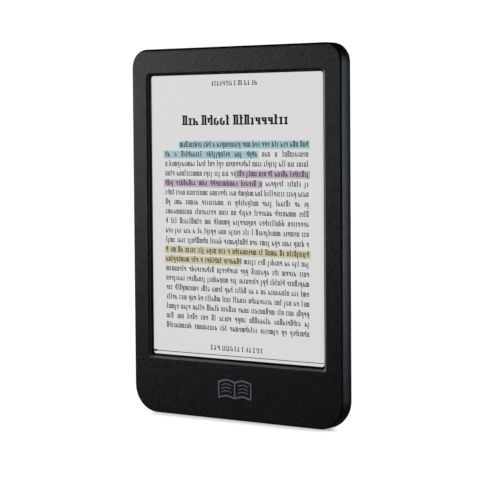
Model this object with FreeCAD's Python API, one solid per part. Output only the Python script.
import FreeCAD, Part
import math
import os

# A six-inch reader that stands upright. Millimetres throughout.
# X runs across the screen, Y from the front face to the back, Z up the screen.
# The origin is at the middle of the bottom edge.

# Case
width = 112.0
height = 160.0
front_y = -4.6
back_y = 4.6
top_corner_radius = 8.0
low_corner_radius = 12.0
front_edge_radius = 0.7
back_edge_radius = 3.7
wall = 1.3
seam_y = 0.3
seam_gap = 0.12
front_plate_back_y = -3.6
cover_inner_y = back_y - wall
lip_thickness = 0.8
lip_clearance = 0.05
lip_depth = 1.0

# Screen window in the front frame, at its narrow back edge; it widens forward in a sloping bevel
window_half_width = 46.95
window_low_z = 25.05
window_high_z = 148.6
window_corner_radius = 1.2
window_bevel_width = 0.95
window_edge_radius = 0.2
window_lip_back_y = -3.85

# Screen layers, front face of each
film_y = -3.75
adhesive_y = -3.50
guide_y = -3.45
mask_y = -3.10
filter_y = -3.05
ink_y = -2.95
glass_y = -2.70
glass_back_y = -2.20
chassis_y = -2.05
chassis_back_y = -1.05
panel_half_width = 50.9
panel_low_z = 13.8
panel_high_z = 152.2
picture_half_width = 46.05
picture_low_z = 26.0
picture_high_z = 148.42

# Main board
board_y = -0.2
board_back_y = 0.6
board_half_width = 48.0
board_low_z = 14.0
board_high_z = 62.0
board_tab_half_width = 9.0
board_tab_low_z = 2.4

# Charging socket
socket_y = -1.78
socket_width = 8.94
socket_height = 3.16
socket_wall = 0.30
socket_low_z = 0.25
socket_high_z = 7.55
socket_seal_thickness = 0.20

# Power button and its switch
button_x = -38.0
button_z = 22.0
button_diameter = 9.4
button_hole_diameter = 9.58
button_face_y = 4.45
flange_diameter = 11.0
switch_size = 4.5
switch_back_y = 1.7
plunger_diameter = 2.0
plunger_tip_y = 2.10

# Battery cell
cell_left_x = -45.0
cell_right_x = 40.0
cell_low_z = 72.0
cell_high_z = 124.0
cell_front_y = -0.9
cell_back_y = 2.5

# Pinhole light
light_x = 36.5
light_z = 155.44

# Screws, all of one small thread size
thread_diameter = 1.40
shank_diameter = 1.36
head_diameter = 2.4
head_thickness = 0.5
boss_diameter = 2.6
case_screw_spots = [(side * x, z) for side in (-1, 1) for x, z in
                    [(52.6, 146.0), (52.6, 100.0), (52.6, 54.0), (20.0, 155.4), (22.0, 5.5), (42.0, 6.5)]]
board_screw_spots = [(-45.0, 17.0), (45.0, 17.0), (-45.0, 58.5), (38.0, 58.5), (-7.2, 5.2), (7.2, 5.2)]

# Folded flexible circuits: left x, right x, y of the sheet at the screen, z of the fold
flex_thickness = 0.08
flex_fold_radius = 1.4
flex_board_y = 1.15
display_flex_place = (14.0, 34.0, -2.74, 10.5)
light_flex_place = (-34.0, -28.0, -3.06, 10.2)
touch_flex_place = (-18.0, -14.0, -3.46, 10.0)
flex_connector_low_z = 17.0


def block(x0, x1, y0, y1, z0, z1):
    return Part.makeBox(x1 - x0, y1 - y0, z1 - z0, FreeCAD.Vector(x0, y0, z0))


def rod(x, z, diameter, y0, y1):
    return Part.makeCylinder(diameter / 2, y1 - y0, FreeCAD.Vector(x, y0, z), FreeCAD.Vector(0, 1, 0))


def corner_arc(centre_x, centre_z, radius, start_degrees, y):
    points = []
    for turn in (0, 45, 90):
        angle = math.radians(start_degrees + turn)
        x = centre_x + radius * math.cos(angle)
        z = centre_z + radius * math.sin(angle)
        points.append(FreeCAD.Vector(x, y, z))
    return Part.Arc(*points).toShape()


def rounded_outline(x0, x1, z0, z1, y0, low_radius, high_radius):
    """A closed outline in the XZ plane with one radius on the lower corners and one on the upper."""
    arcs = [corner_arc(x1 - high_radius, z1 - high_radius, high_radius, 0, y0),
            corner_arc(x0 + high_radius, z1 - high_radius, high_radius, 90, y0),
            corner_arc(x0 + low_radius, z0 + low_radius, low_radius, 180, y0),
            corner_arc(x1 - low_radius, z0 + low_radius, low_radius, 270, y0)]
    edges = []
    for arc, following in zip(arcs, arcs[1:] + arcs[:1]):
        edges.append(arc)
        edges.append(Part.makeLine(arc.Vertexes[-1].Point, following.Vertexes[0].Point))
    return Part.Wire(edges)


def rounded_plate(x0, x1, z0, z1, y0, y1, low_radius, high_radius):
    """A plate in the XZ plane with one radius on the lower corners and one on the upper ones."""
    face = Part.Face(rounded_outline(x0, x1, z0, z1, y0, low_radius, high_radius))
    return face.extrude(FreeCAD.Vector(0, y1 - y0, 0))


def case_plate(inset, y0, y1):
    """A plate that follows the outline of the case, moved inwards by the inset."""
    return rounded_plate(inset - width / 2, width / 2 - inset, inset, height - inset, y0, y1,
                         low_corner_radius - inset, top_corner_radius - inset)


def case_ring(outer_inset, inner_inset, y0, y1):
    return case_plate(outer_inset, y0, y1).cut(case_plate(inner_inset, y0 - 1, y1 + 1))


def edges_at_y(shape, y):
    found = []
    for edge in shape.Edges:
        box = edge.BoundBox
        if abs(box.YMin - y) < 1e-4 and abs(box.YMax - y) < 1e-4:
            found.append(edge)
    return found


def edges_at_z(shape, z):
    found = []
    for edge in shape.Edges:
        box = edge.BoundBox
        if abs(box.ZMin - z) < 1e-4 and abs(box.ZMax - z) < 1e-4:
            found.append(edge)
    return found


def obround(overall_width, overall_height, z0, z1):
    """A bar along Z with rounded ends in section, centred on the charging socket."""
    radius = overall_height / 2
    half_flat = overall_width / 2 - radius
    bar = block(-half_flat, half_flat, socket_y - radius, socket_y + radius, z0, z1)
    for x in (-half_flat, half_flat):
        end = Part.makeCylinder(radius, z1 - z0, FreeCAD.Vector(x, socket_y, z0))
        bar = bar.fuse(end)
    return bar.removeSplitter()


def turn_corner(before, corner, after, radius):
    """Where the bend at a corner starts and ends, and its centre, for points in the YZ plane."""
    to_before = (before - corner).normalize()
    to_after = (after - corner).normalize()
    half_angle = to_before.getAngle(to_after) / 2
    setback = radius / math.tan(half_angle)
    middle = (to_before + to_after).normalize()
    centre = corner + middle * (radius / math.sin(half_angle))
    return corner + to_before * setback, corner + to_after * setback, centre


def side_points(points, radius, offset):
    """One side of a bent sheet: straight runs and arcs, at an offset from the middle line."""
    path = [FreeCAD.Vector(0, y, z) for y, z in points]
    edges = []
    start = None
    for i in range(len(path) - 1):
        run = (path[i + 1] - path[i]).normalize()
        normal = FreeCAD.Vector(0, -run.z, run.y) * offset
        if i == 0:
            start = path[0] + normal
        if i + 2 < len(path):
            bend_start, bend_end, centre = turn_corner(path[i], path[i + 1], path[i + 2], radius)
            next_run = (path[i + 2] - path[i + 1]).normalize()
            next_normal = FreeCAD.Vector(0, -next_run.z, next_run.y) * offset
            inner = bend_start + normal
            outer = bend_end + next_normal
            inward = (((inner + outer) * 0.5) - centre).normalize()
            middle = centre + inward * (inner - centre).Length
            edges.append(Part.makeLine(start, inner))
            edges.append(Part.Arc(inner, middle, outer).toShape())
            start = outer
        else:
            edges.append(Part.makeLine(start, path[i + 1] + normal))
    return edges


def bent_sheet(points, radius, thickness, x0, x1):
    """A thin sheet between x0 and x1 that follows the (y, z) points with rounded bends."""
    one_side = side_points(points, radius, thickness / 2)
    other_side = side_points(points, radius, -thickness / 2)
    first = Part.makeLine(one_side[0].Vertexes[0].Point, other_side[0].Vertexes[0].Point)
    last = Part.makeLine(one_side[-1].Vertexes[-1].Point, other_side[-1].Vertexes[-1].Point)
    wire = Part.Wire(Part.__sortEdges__(one_side + [last] + other_side + [first]))
    sheet = Part.Face(wire).extrude(FreeCAD.Vector(x1 - x0, 0, 0))
    sheet.translate(FreeCAD.Vector(x0, 0, 0))
    return sheet


def round_lead(points, bend_radius, diameter):
    """A round wire along straight runs joined by tangent arcs."""
    path = [FreeCAD.Vector(*point) for point in points]
    edges = []
    start = path[0]
    for i in range(1, len(path) - 1):
        bend_start, bend_end, centre = turn_corner(path[i - 1], path[i], path[i + 1], bend_radius)
        inward = (path[i] - centre).normalize()
        edges.append(Part.makeLine(start, bend_start))
        edges.append(Part.Arc(bend_start, centre + inward * bend_radius, bend_end).toShape())
        start = bend_end
    edges.append(Part.makeLine(start, path[-1]))
    circle = Part.makeCircle(diameter / 2, path[0], path[1] - path[0])
    return Part.Wire(edges).makePipeShell([Part.Wire([circle])], True, False)


def screw(x, z, head_y, tip_y):
    """A pan screw driven from the back, with a hexagonal recess in its head."""
    head = rod(x, z, head_diameter, head_y, head_y + head_thickness)
    head = head.makeFillet(0.15, edges_at_y(head, head_y + head_thickness))
    corners = []
    for i in range(7):
        angle = math.radians(60 * i)
        corners.append(FreeCAD.Vector(x + 0.6 * math.cos(angle), head_y + 0.2, z + 0.6 * math.sin(angle)))
    recess = Part.Face(Part.makePolygon(corners)).extrude(FreeCAD.Vector(0, 1, 0))
    return head.fuse(rod(x, z, shank_diameter, tip_y, head_y)).cut(recess)


def snap_places():
    """Middle of each snap as (x, z), with the direction that points outwards."""
    places = []
    for side in (-1, 1):
        for z in (32.0, 77.0, 123.0):
            places.append((side * width / 2, z, side, 0))
        for z, upward in ((0.0, -1), (height, 1)):
            places.append((side * 30.0, z, 0, upward))
    return places


def snap_block(place, outer_inset, inner_inset, half_length, y0, y1):
    x, z, out_x, out_z = place
    if out_x:
        xs = sorted([x - out_x * outer_inset, x - out_x * inner_inset])
        return block(xs[0], xs[1], y0, y1, z - half_length, z + half_length)
    zs = sorted([z - out_z * outer_inset, z - out_z * inner_inset])
    return block(x - half_length, x + half_length, y0, y1, zs[0], zs[1])


def socket_opening():
    gap = 2 * socket_seal_thickness
    hole = obround(socket_width + gap, socket_height + gap, -1, wall + 0.5)
    mouth = obround(socket_width + gap + 0.7, socket_height + gap + 0.7, -1, 0.35)
    mouth = mouth.makeChamfer(0.34, edges_at_z(mouth, 0.35))
    return hole.fuse(mouth)


def window_outline(grow, y0, y1=None):
    """The outline of the screen window, grown on all sides; a plate if a second depth is given."""
    size = (-window_half_width - grow, window_half_width + grow, window_low_z - grow, window_high_z + grow)
    radius = window_corner_radius + grow
    if y1 is None:
        return rounded_outline(*size, y0, radius, radius)
    return rounded_plate(*size, y0, y1, radius, radius)


def window_bevel():
    """The cutter for the bevel, which runs on past the front face at the same slope."""
    slope = window_bevel_width / (window_lip_back_y - front_y)
    past = 0.2
    return Part.makeLoft([window_outline(window_bevel_width + slope * past, front_y - past),
                          window_outline(0, window_lip_back_y)], True, True)


def front_frame():
    body = case_plate(0, front_y, seam_y)
    body = body.makeFillet(front_edge_radius, edges_at_y(body, front_y))
    body = body.cut(case_plate(wall, front_plate_back_y, seam_y + 1))
    body = body.cut(rounded_plate(-51.3, 51.3, 14.8, 152.4, window_lip_back_y, 0, 1.0, 1.0))
    body = body.cut(window_outline(0, window_lip_back_y - 0.1, 0))
    body = body.cut(window_bevel())
    rim = []
    for edge in edges_at_y(body, front_y):
        middle = edge.CenterOfMass
        if abs(middle.x) < window_half_width + 1.5 and window_low_z - 1.5 < middle.z < window_high_z + 1.5:
            rim.append(edge)
    body = body.makeFillet(window_edge_radius, rim)
    for x, z in case_screw_spots:
        body = body.fuse(rod(x, z, boss_diameter, front_plate_back_y - 0.1, chassis_y))
    for x, z in case_screw_spots:
        body = body.cut(rod(x, z, thread_diameter, -3.4, 0))
    for place in snap_places():
        body = body.cut(snap_block(place, wall - 0.3, wall + 0.1, 4.3, -0.65, -0.05))
    body = body.cut(socket_opening())
    body = body.cut(rod(light_x, light_z, 0.8, front_y - 1, 0))
    return body.removeSplitter()


def back_cover():
    outer = case_plate(0, seam_y - 2, back_y)
    outer = outer.makeFillet(back_edge_radius, edges_at_y(outer, back_y))
    inner = case_plate(wall, seam_y - 3, cover_inner_y)
    inner = inner.makeFillet(back_edge_radius - wall, edges_at_y(inner, cover_inner_y))
    shell = outer.cut(inner)
    shell = shell.cut(block(-width, width, seam_y - 5, seam_y + seam_gap, -5, height + 5))
    lip_inset = wall + lip_clearance
    shell = shell.fuse(case_ring(lip_inset - 0.4, lip_inset + lip_thickness, seam_y + seam_gap, seam_y + 1.2))
    shell = shell.fuse(case_ring(lip_inset, lip_inset + lip_thickness, seam_y - lip_depth, seam_y + 1))
    for place in snap_places():
        shell = shell.fuse(snap_block(place, wall - 0.25, lip_inset + 0.2, 4.0, -0.6, -0.1))
    shell = shell.cut(block(-5.4, 5.4, seam_y - 2, seam_y + seam_gap, 0, 4))
    hole = rod(button_x, button_z, button_hole_diameter, cover_inner_y - 1, back_y + 1)
    shell = shell.cut(hole)
    rim = Part.makeCone(button_hole_diameter / 2, button_hole_diameter / 2 + 0.5, 0.3,
                        FreeCAD.Vector(button_x, back_y - 0.25, button_z), FreeCAD.Vector(0, 1, 0))
    return shell.cut(rim).removeSplitter()


def perimeter_seal():
    inset = wall + lip_clearance
    ring = case_ring(inset, inset + lip_thickness, chassis_back_y, seam_y - lip_depth)
    ring = ring.cut(block(40.4, 45.4, -2, 0, 150, 160))
    return ring.cut(block(-5.4, 5.4, -2, 0, 0, 4))


def display_gasket():
    outer = rounded_plate(-50.9, 50.9, 15.2, 151.9, window_lip_back_y, film_y, 0.8, 0.8)
    inner = rounded_plate(-47.9, 47.9, 23.8, 150.0, window_lip_back_y - 1, film_y + 1, 1.0, 1.0)
    return outer.cut(inner)


def touch_film():
    return rounded_plate(-50.9, 50.9, 15.2, 151.9, film_y, adhesive_y, 0.8, 0.8)


def optical_adhesive():
    return rounded_plate(-50.3, 50.3, 16.9, 151.6, adhesive_y, guide_y, 0.6, 0.6)


def light_guide():
    return rounded_plate(-50.5, 50.5, 16.6, 151.9, guide_y, mask_y, 0.6, 0.6)


def border_mask():
    outer = rounded_plate(-50.3, 50.3, 19.6, 151.7, mask_y, filter_y, 0.6, 0.6)
    inner = rounded_plate(-picture_half_width, picture_half_width, picture_low_z, picture_high_z,
                          mask_y - 1, filter_y + 1, 1.2, 1.2)
    return outer.cut(inner)


def colour_filter():
    return rounded_plate(-50.3, 50.3, 19.6, 151.7, filter_y, ink_y, 0.5, 0.5)


def epaper_film():
    return rounded_plate(-50.5, 50.5, 19.4, 151.9, ink_y, glass_y, 0.5, 0.5)


def backplane_glass():
    return rounded_plate(-panel_half_width, panel_half_width, panel_low_z, panel_high_z,
                         glass_y, glass_back_y, 0.4, 0.4)


def display_driver():
    chips = []
    for x in (-26.0, 4.0, 34.0):
        chips.append(block(x - 9, x + 9, glass_y - 0.3, glass_y, 16.9, 18.5))
    return Part.makeCompound(chips)


def display_tape():
    strips = []
    for x in (-49.0, 40.0):
        strips.append(block(x, x + 9, glass_back_y, chassis_y, 20, 145))
    return Part.makeCompound(strips)


def light_leds():
    leds = []
    for i in range(12):
        x = -44.0 + 8.0 * i
        leds.append(block(x - 1.5, x + 1.5, -3.48, -3.10, 15.45, 16.50))
    return Part.makeCompound(leds)


def folded_flex(place, start_z):
    x0, x1, screen_y, fold_z = place
    points = [(screen_y, start_z), (screen_y, fold_z), (flex_board_y, fold_z),
              (flex_board_y, flex_connector_low_z + 2.0)]
    return bent_sheet(points, flex_fold_radius, flex_thickness, x0, x1)


def light_strip():
    strip = block(-47, 47, -3.10, -3.02, 12.6, 16.4)
    return strip.fuse(folded_flex(light_flex_place, 12.8)).removeSplitter()


def display_flex():
    return folded_flex(display_flex_place, 16.4)


def touch_flex():
    return folded_flex(touch_flex_place, 16.4)


def flex_slot(place):
    x0, x1, screen_y, fold_z = place
    return rounded_plate(x0 - 1, x1 + 1, fold_z - 1.0, 12.6, chassis_y - 1, chassis_back_y + 1, 0.6, 0.6)


def chassis():
    inset = wall + 0.1
    plate = case_plate(inset, chassis_y, chassis_back_y)
    plate = plate.cut(block(-5.4, 5.4, chassis_y - 1, chassis_back_y + 1, 0, 8.3))
    plate = plate.cut(block(40.8, 45.0, chassis_y - 1, chassis_back_y + 1, 155.4, 160))
    for place in (display_flex_place, light_flex_place, touch_flex_place):
        plate = plate.cut(flex_slot(place))
    for x in (-36.0, -12.0, 12.0, 36.0):
        for z in (66.5, 131.5):
            plate = plate.cut(rounded_plate(x - 9, x + 9, z - 2.5, z + 2.5, chassis_y - 1, 0, 2.4, 2.4))
    for x, z in case_screw_spots:
        plate = plate.cut(rod(x, z, 1.6, chassis_y - 1, 0))
    for x, z in board_screw_spots:
        plate = plate.fuse(rod(x, z, boss_diameter, chassis_back_y - 0.1, board_y))
    for x, z in board_screw_spots:
        plate = plate.cut(rod(x, z, thread_diameter, chassis_y - 1, 1))
    return plate.removeSplitter()


def chassis_screws():
    return Part.makeCompound([screw(x, z, chassis_back_y, -3.3) for x, z in case_screw_spots])


def board_screws():
    return Part.makeCompound([screw(x, z, board_back_y, -1.95) for x, z in board_screw_spots])


def main_board():
    board = rounded_plate(-board_half_width, board_half_width, board_low_z, board_high_z,
                          board_y, board_back_y, 1.5, 1.5)
    tab = rounded_plate(-board_tab_half_width, board_tab_half_width, board_tab_low_z, board_low_z + 3,
                        board_y, board_back_y, 1.0, 1.0)
    board = board.fuse(tab)
    for x, z in board_screw_spots:
        board = board.cut(rod(x, z, 1.6, board_y - 1, board_back_y + 1))
    return board.removeSplitter()


def usb_shell():
    outer = obround(socket_width, socket_height, socket_low_z, socket_high_z)
    inner = obround(socket_width - 2 * socket_wall, socket_height - 2 * socket_wall,
                    socket_low_z - 1, socket_high_z + 1)
    return outer.cut(inner)


def usb_tongue():
    base = obround(socket_width - 2 * socket_wall - 0.02, socket_height - 2 * socket_wall - 0.02, 5.4, 7.5)
    plate = block(-3.345, 3.345, socket_y - 0.35, socket_y + 0.35, 1.0, 5.5)
    return base.fuse(plate).removeSplitter()


def usb_contacts():
    strips = []
    for i in range(12):
        x = -2.75 + 0.5 * i
        for y in (socket_y - 0.40, socket_y + 0.35):
            strips.append(block(x - 0.12, x + 0.12, y, y + 0.05, 1.5, 5.2))
    return Part.makeCompound(strips)


def usb_seal():
    gap = 2 * socket_seal_thickness
    ring = obround(socket_width + gap, socket_height + gap, 0.5, 1.2)
    return ring.cut(obround(socket_width, socket_height, 0, 2))


def battery_cell():
    cell = block(cell_left_x, cell_right_x, cell_front_y, cell_back_y, cell_low_z, cell_high_z)
    upright = [edge for edge in cell.Edges if edge.BoundBox.ZLength > 10]
    return cell.makeFillet(1.2, upright)


def battery_board():
    return block(-22, 12, -0.7, 0.1, 68.0, 71.9)


def battery_adhesive():
    return Part.makeCompound([block(-40, 36, chassis_back_y, cell_front_y, z, z + 10) for z in (77, 109)])


def foam_pads():
    pads = []
    for x in (-30.0, -2.0, 26.0):
        pads.append(block(x - 7, x + 7, cell_back_y, cover_inner_y, 92, 104))
    return Part.makeCompound(pads)


def battery_leads():
    leads = []
    for x in (-9.0, -7.8, -6.6):
        points = [(x, -0.3, 68.0), (x, -0.3, 66.6), (x, 1.5, 63.6), (x, 1.5, 59.6)]
        leads.append(round_lead(points, 1.2, 0.8))
    return Part.makeCompound(leads)


def battery_plug():
    return block(-10.2, -5.4, 0.95, 2.05, 56.0, 59.6)


def battery_socket():
    body = block(-11.0, -4.6, board_back_y, 2.2, 54.8, 59.0)
    return body.cut(block(-10.23, -5.37, 0.92, 2.3, 55.97, 60))


def chip(x0, z0, x_size, z_size, thickness):
    return block(x0, x0 + x_size, board_back_y, board_back_y + thickness, z0, z0 + z_size)


def processor():
    return chip(-16, 32, 12, 12, 1.1)


def memory_chip():
    return chip(0, 33, 10, 10, 0.9)


def storage_chip():
    return chip(18, 26, 11.5, 13, 0.9)


def power_chip():
    return chip(-33, 38, 6, 6, 0.85)


def display_power_chip():
    return chip(20, 44, 5, 5, 0.85)


def hall_sensor():
    return chip(44, 26, 2.9, 1.6, 1.0)


def wireless_module():
    base = chip(31.5, 28, 12, 12, 0.4)
    cover = block(31.9, 43.1, board_back_y + 0.4, 2.2, 28.4, 39.6)
    return base.fuse(cover)


def shield_can():
    outer = block(-20, 14, board_back_y, 2.4, 26, 50)
    upright = [edge for edge in outer.Edges if edge.BoundBox.YLength > 1]
    outer = outer.makeFillet(1.0, upright)
    outer = outer.cut(block(-19.85, 13.85, 0, 2.25, 26.15, 49.85))
    for x in (-14.0, -3.0, 8.0):
        outer = outer.cut(rod(x, 47.5, 1.2, 2, 3))
        outer = outer.cut(rod(x, 28.5, 1.2, 2, 3))
    return outer


def chip_capacitors():
    spots = [(-25, 37), (-25, 40), (-25, 43), (-36, 46), (-33, 47), (17, 46), (17, 50), (33, 45), (36, 45),
             (30, 23.5), (20, 23.5), (-44, 30), (-44, 34)]
    return Part.makeCompound([chip(x, z, 1.0, 0.5, 0.5) for x, z in spots])


def inductors():
    coils = []
    for x, z in [(-38, 50), (-32, 50), (27, 44), (27, 49)]:
        coil = chip(x, z, 3.0, 3.0, 1.2)
        upright = [edge for edge in coil.Edges if edge.BoundBox.YLength > 1]
        coils.append(coil.makeFillet(0.4, upright))
    return Part.makeCompound(coils)


def flex_connector(x0, x1, z0, entry_is_below):
    body = block(x0, x1, board_back_y, 1.8, z0, z0 + 3.6)
    slot_z = z0 - 1 if entry_is_below else z0 + 1.5
    slot = block(x0 + 0.5, x1 - 0.5, flex_board_y - 0.05, flex_board_y + 0.05, slot_z, slot_z + 3.1)
    return body.cut(slot)


def display_connector():
    return flex_connector(13.2, 34.8, flex_connector_low_z, True)


def light_connector():
    return flex_connector(-34.8, -27.2, flex_connector_low_z, True)


def touch_connector():
    return flex_connector(-18.8, -13.2, flex_connector_low_z, True)


def indicator_connector():
    return flex_connector(41.0, 44.8, 53.0, False)


def indicator_flex():
    front = block(34.6, 44.2, -3.15, -3.07, 153.6, 156.4)
    points = [(-3.11, 155.0), (-3.11, 157.3), (-0.98, 157.3), (-0.98, 68.0), (flex_board_y, 63.6),
              (flex_board_y, 54.7)]
    tail = bent_sheet(points, 1.0, flex_thickness, 41.6, 44.2)
    return front.fuse(tail).removeSplitter()


def indicator_led():
    return block(light_x - 0.5, light_x + 0.5, -3.55, -3.15, light_z - 0.3, light_z + 0.3)


def light_pipe():
    pin = rod(light_x, light_z, 0.76, front_y + 0.03, -3.6)
    return pin.fuse(rod(light_x, light_z, 1.6, -3.6, -3.55)).removeSplitter()


def antenna_flex():
    return rounded_plate(16, 42, 130, 150, cover_inner_y - 0.12, cover_inner_y, 1.0, 1.0)


def antenna_plug():
    return rod(46.2, 46.0, 2.4, board_back_y, 1.9)


def antenna_cable():
    points = [(46.2, 1.3, 47.2), (46.2, 1.3, 61.0), (46.2, 2.78, 67.0), (46.2, 2.78, 130.0), (40.0, 2.78, 138.0)]
    return round_lead(points, 4.0, 0.8)


def switch_body():
    half = switch_size / 2
    body = block(button_x - half, button_x + half, board_back_y, switch_back_y, button_z - half, button_z + half)
    body = body.cut(rod(button_x, button_z, 3.2, 0.95, 1.45))
    return body.cut(rod(button_x, button_z, plunger_diameter + 0.1, 1.3, 3))


def switch_dome():
    """A shallow cap of sprung sheet that stands on the floor of the switch."""
    radius = 3.6
    rise = 0.33
    floor_y = 0.95
    centre = FreeCAD.Vector(button_x, floor_y + rise - radius, button_z)
    cap = Part.makeSphere(radius, centre).cut(Part.makeSphere(radius - 0.07, centre))
    return cap.common(rod(button_x, button_z, 3.0, floor_y, floor_y + 1))


def switch_plunger():
    flange = rod(button_x, button_z, 2.6, 1.31, 1.42)
    return flange.fuse(rod(button_x, button_z, plunger_diameter, 1.35, plunger_tip_y)).removeSplitter()


def power_button():
    cap = rod(button_x, button_z, button_diameter, 2.9, button_face_y)
    cap = cap.makeFillet(0.3, edges_at_y(cap, button_face_y))
    dish = Part.makeSphere(60.0, FreeCAD.Vector(button_x, button_face_y + 59.88, button_z))
    cap = cap.cut(dish)
    flange = rod(button_x, button_z, flange_diameter, 2.7, 3.2)
    stem = rod(button_x, button_z, 3.0, plunger_tip_y + 0.02, 2.8)
    return cap.fuse(flange).fuse(stem).removeSplitter()


nodes = {
    "front_frame": front_frame, "back_cover": back_cover, "perimeter_seal": perimeter_seal,
    "display_gasket": display_gasket, "touch_film": touch_film, "optical_adhesive": optical_adhesive,
    "light_guide": light_guide, "border_mask": border_mask, "colour_filter": colour_filter,
    "epaper_film": epaper_film, "backplane_glass": backplane_glass, "display_driver": display_driver,
    "display_tape": display_tape, "light_leds": light_leds, "light_strip": light_strip,
    "display_flex": display_flex, "touch_flex": touch_flex, "chassis": chassis,
    "chassis_screws": chassis_screws, "board_screws": board_screws, "main_board": main_board,
    "usb_shell": usb_shell, "usb_tongue": usb_tongue, "usb_contacts": usb_contacts, "usb_seal": usb_seal,
    "battery_cell": battery_cell, "battery_board": battery_board, "battery_adhesive": battery_adhesive,
    "foam_pads": foam_pads, "battery_leads": battery_leads, "battery_plug": battery_plug,
    "battery_socket": battery_socket, "processor": processor, "memory_chip": memory_chip,
    "storage_chip": storage_chip, "power_chip": power_chip, "display_power_chip": display_power_chip,
    "hall_sensor": hall_sensor, "wireless_module": wireless_module, "shield_can": shield_can,
    "chip_capacitors": chip_capacitors, "inductors": inductors, "display_connector": display_connector,
    "light_connector": light_connector, "touch_connector": touch_connector,
    "indicator_connector": indicator_connector, "indicator_flex": indicator_flex,
    "indicator_led": indicator_led, "light_pipe": light_pipe, "antenna_flex": antenna_flex,
    "antenna_plug": antenna_plug, "antenna_cable": antenna_cable, "switch_body": switch_body,
    "switch_dome": switch_dome, "switch_plunger": switch_plunger, "power_button": power_button,
}

os.makedirs("parts", exist_ok=True)
for name, make in nodes.items():
    shape = make()
    shape.exportStep("parts/" + name + ".step")
    box = shape.BoundBox
    print(name, "valid" if shape.isValid() else "INVALID", len(shape.Solids), "solids", round(shape.Volume, 3),
          "mm3, x", round(box.XMin, 2), round(box.XMax, 2), "y", round(box.YMin, 2), round(box.YMax, 2),
          "z", round(box.ZMin, 2), round(box.ZMax, 2))
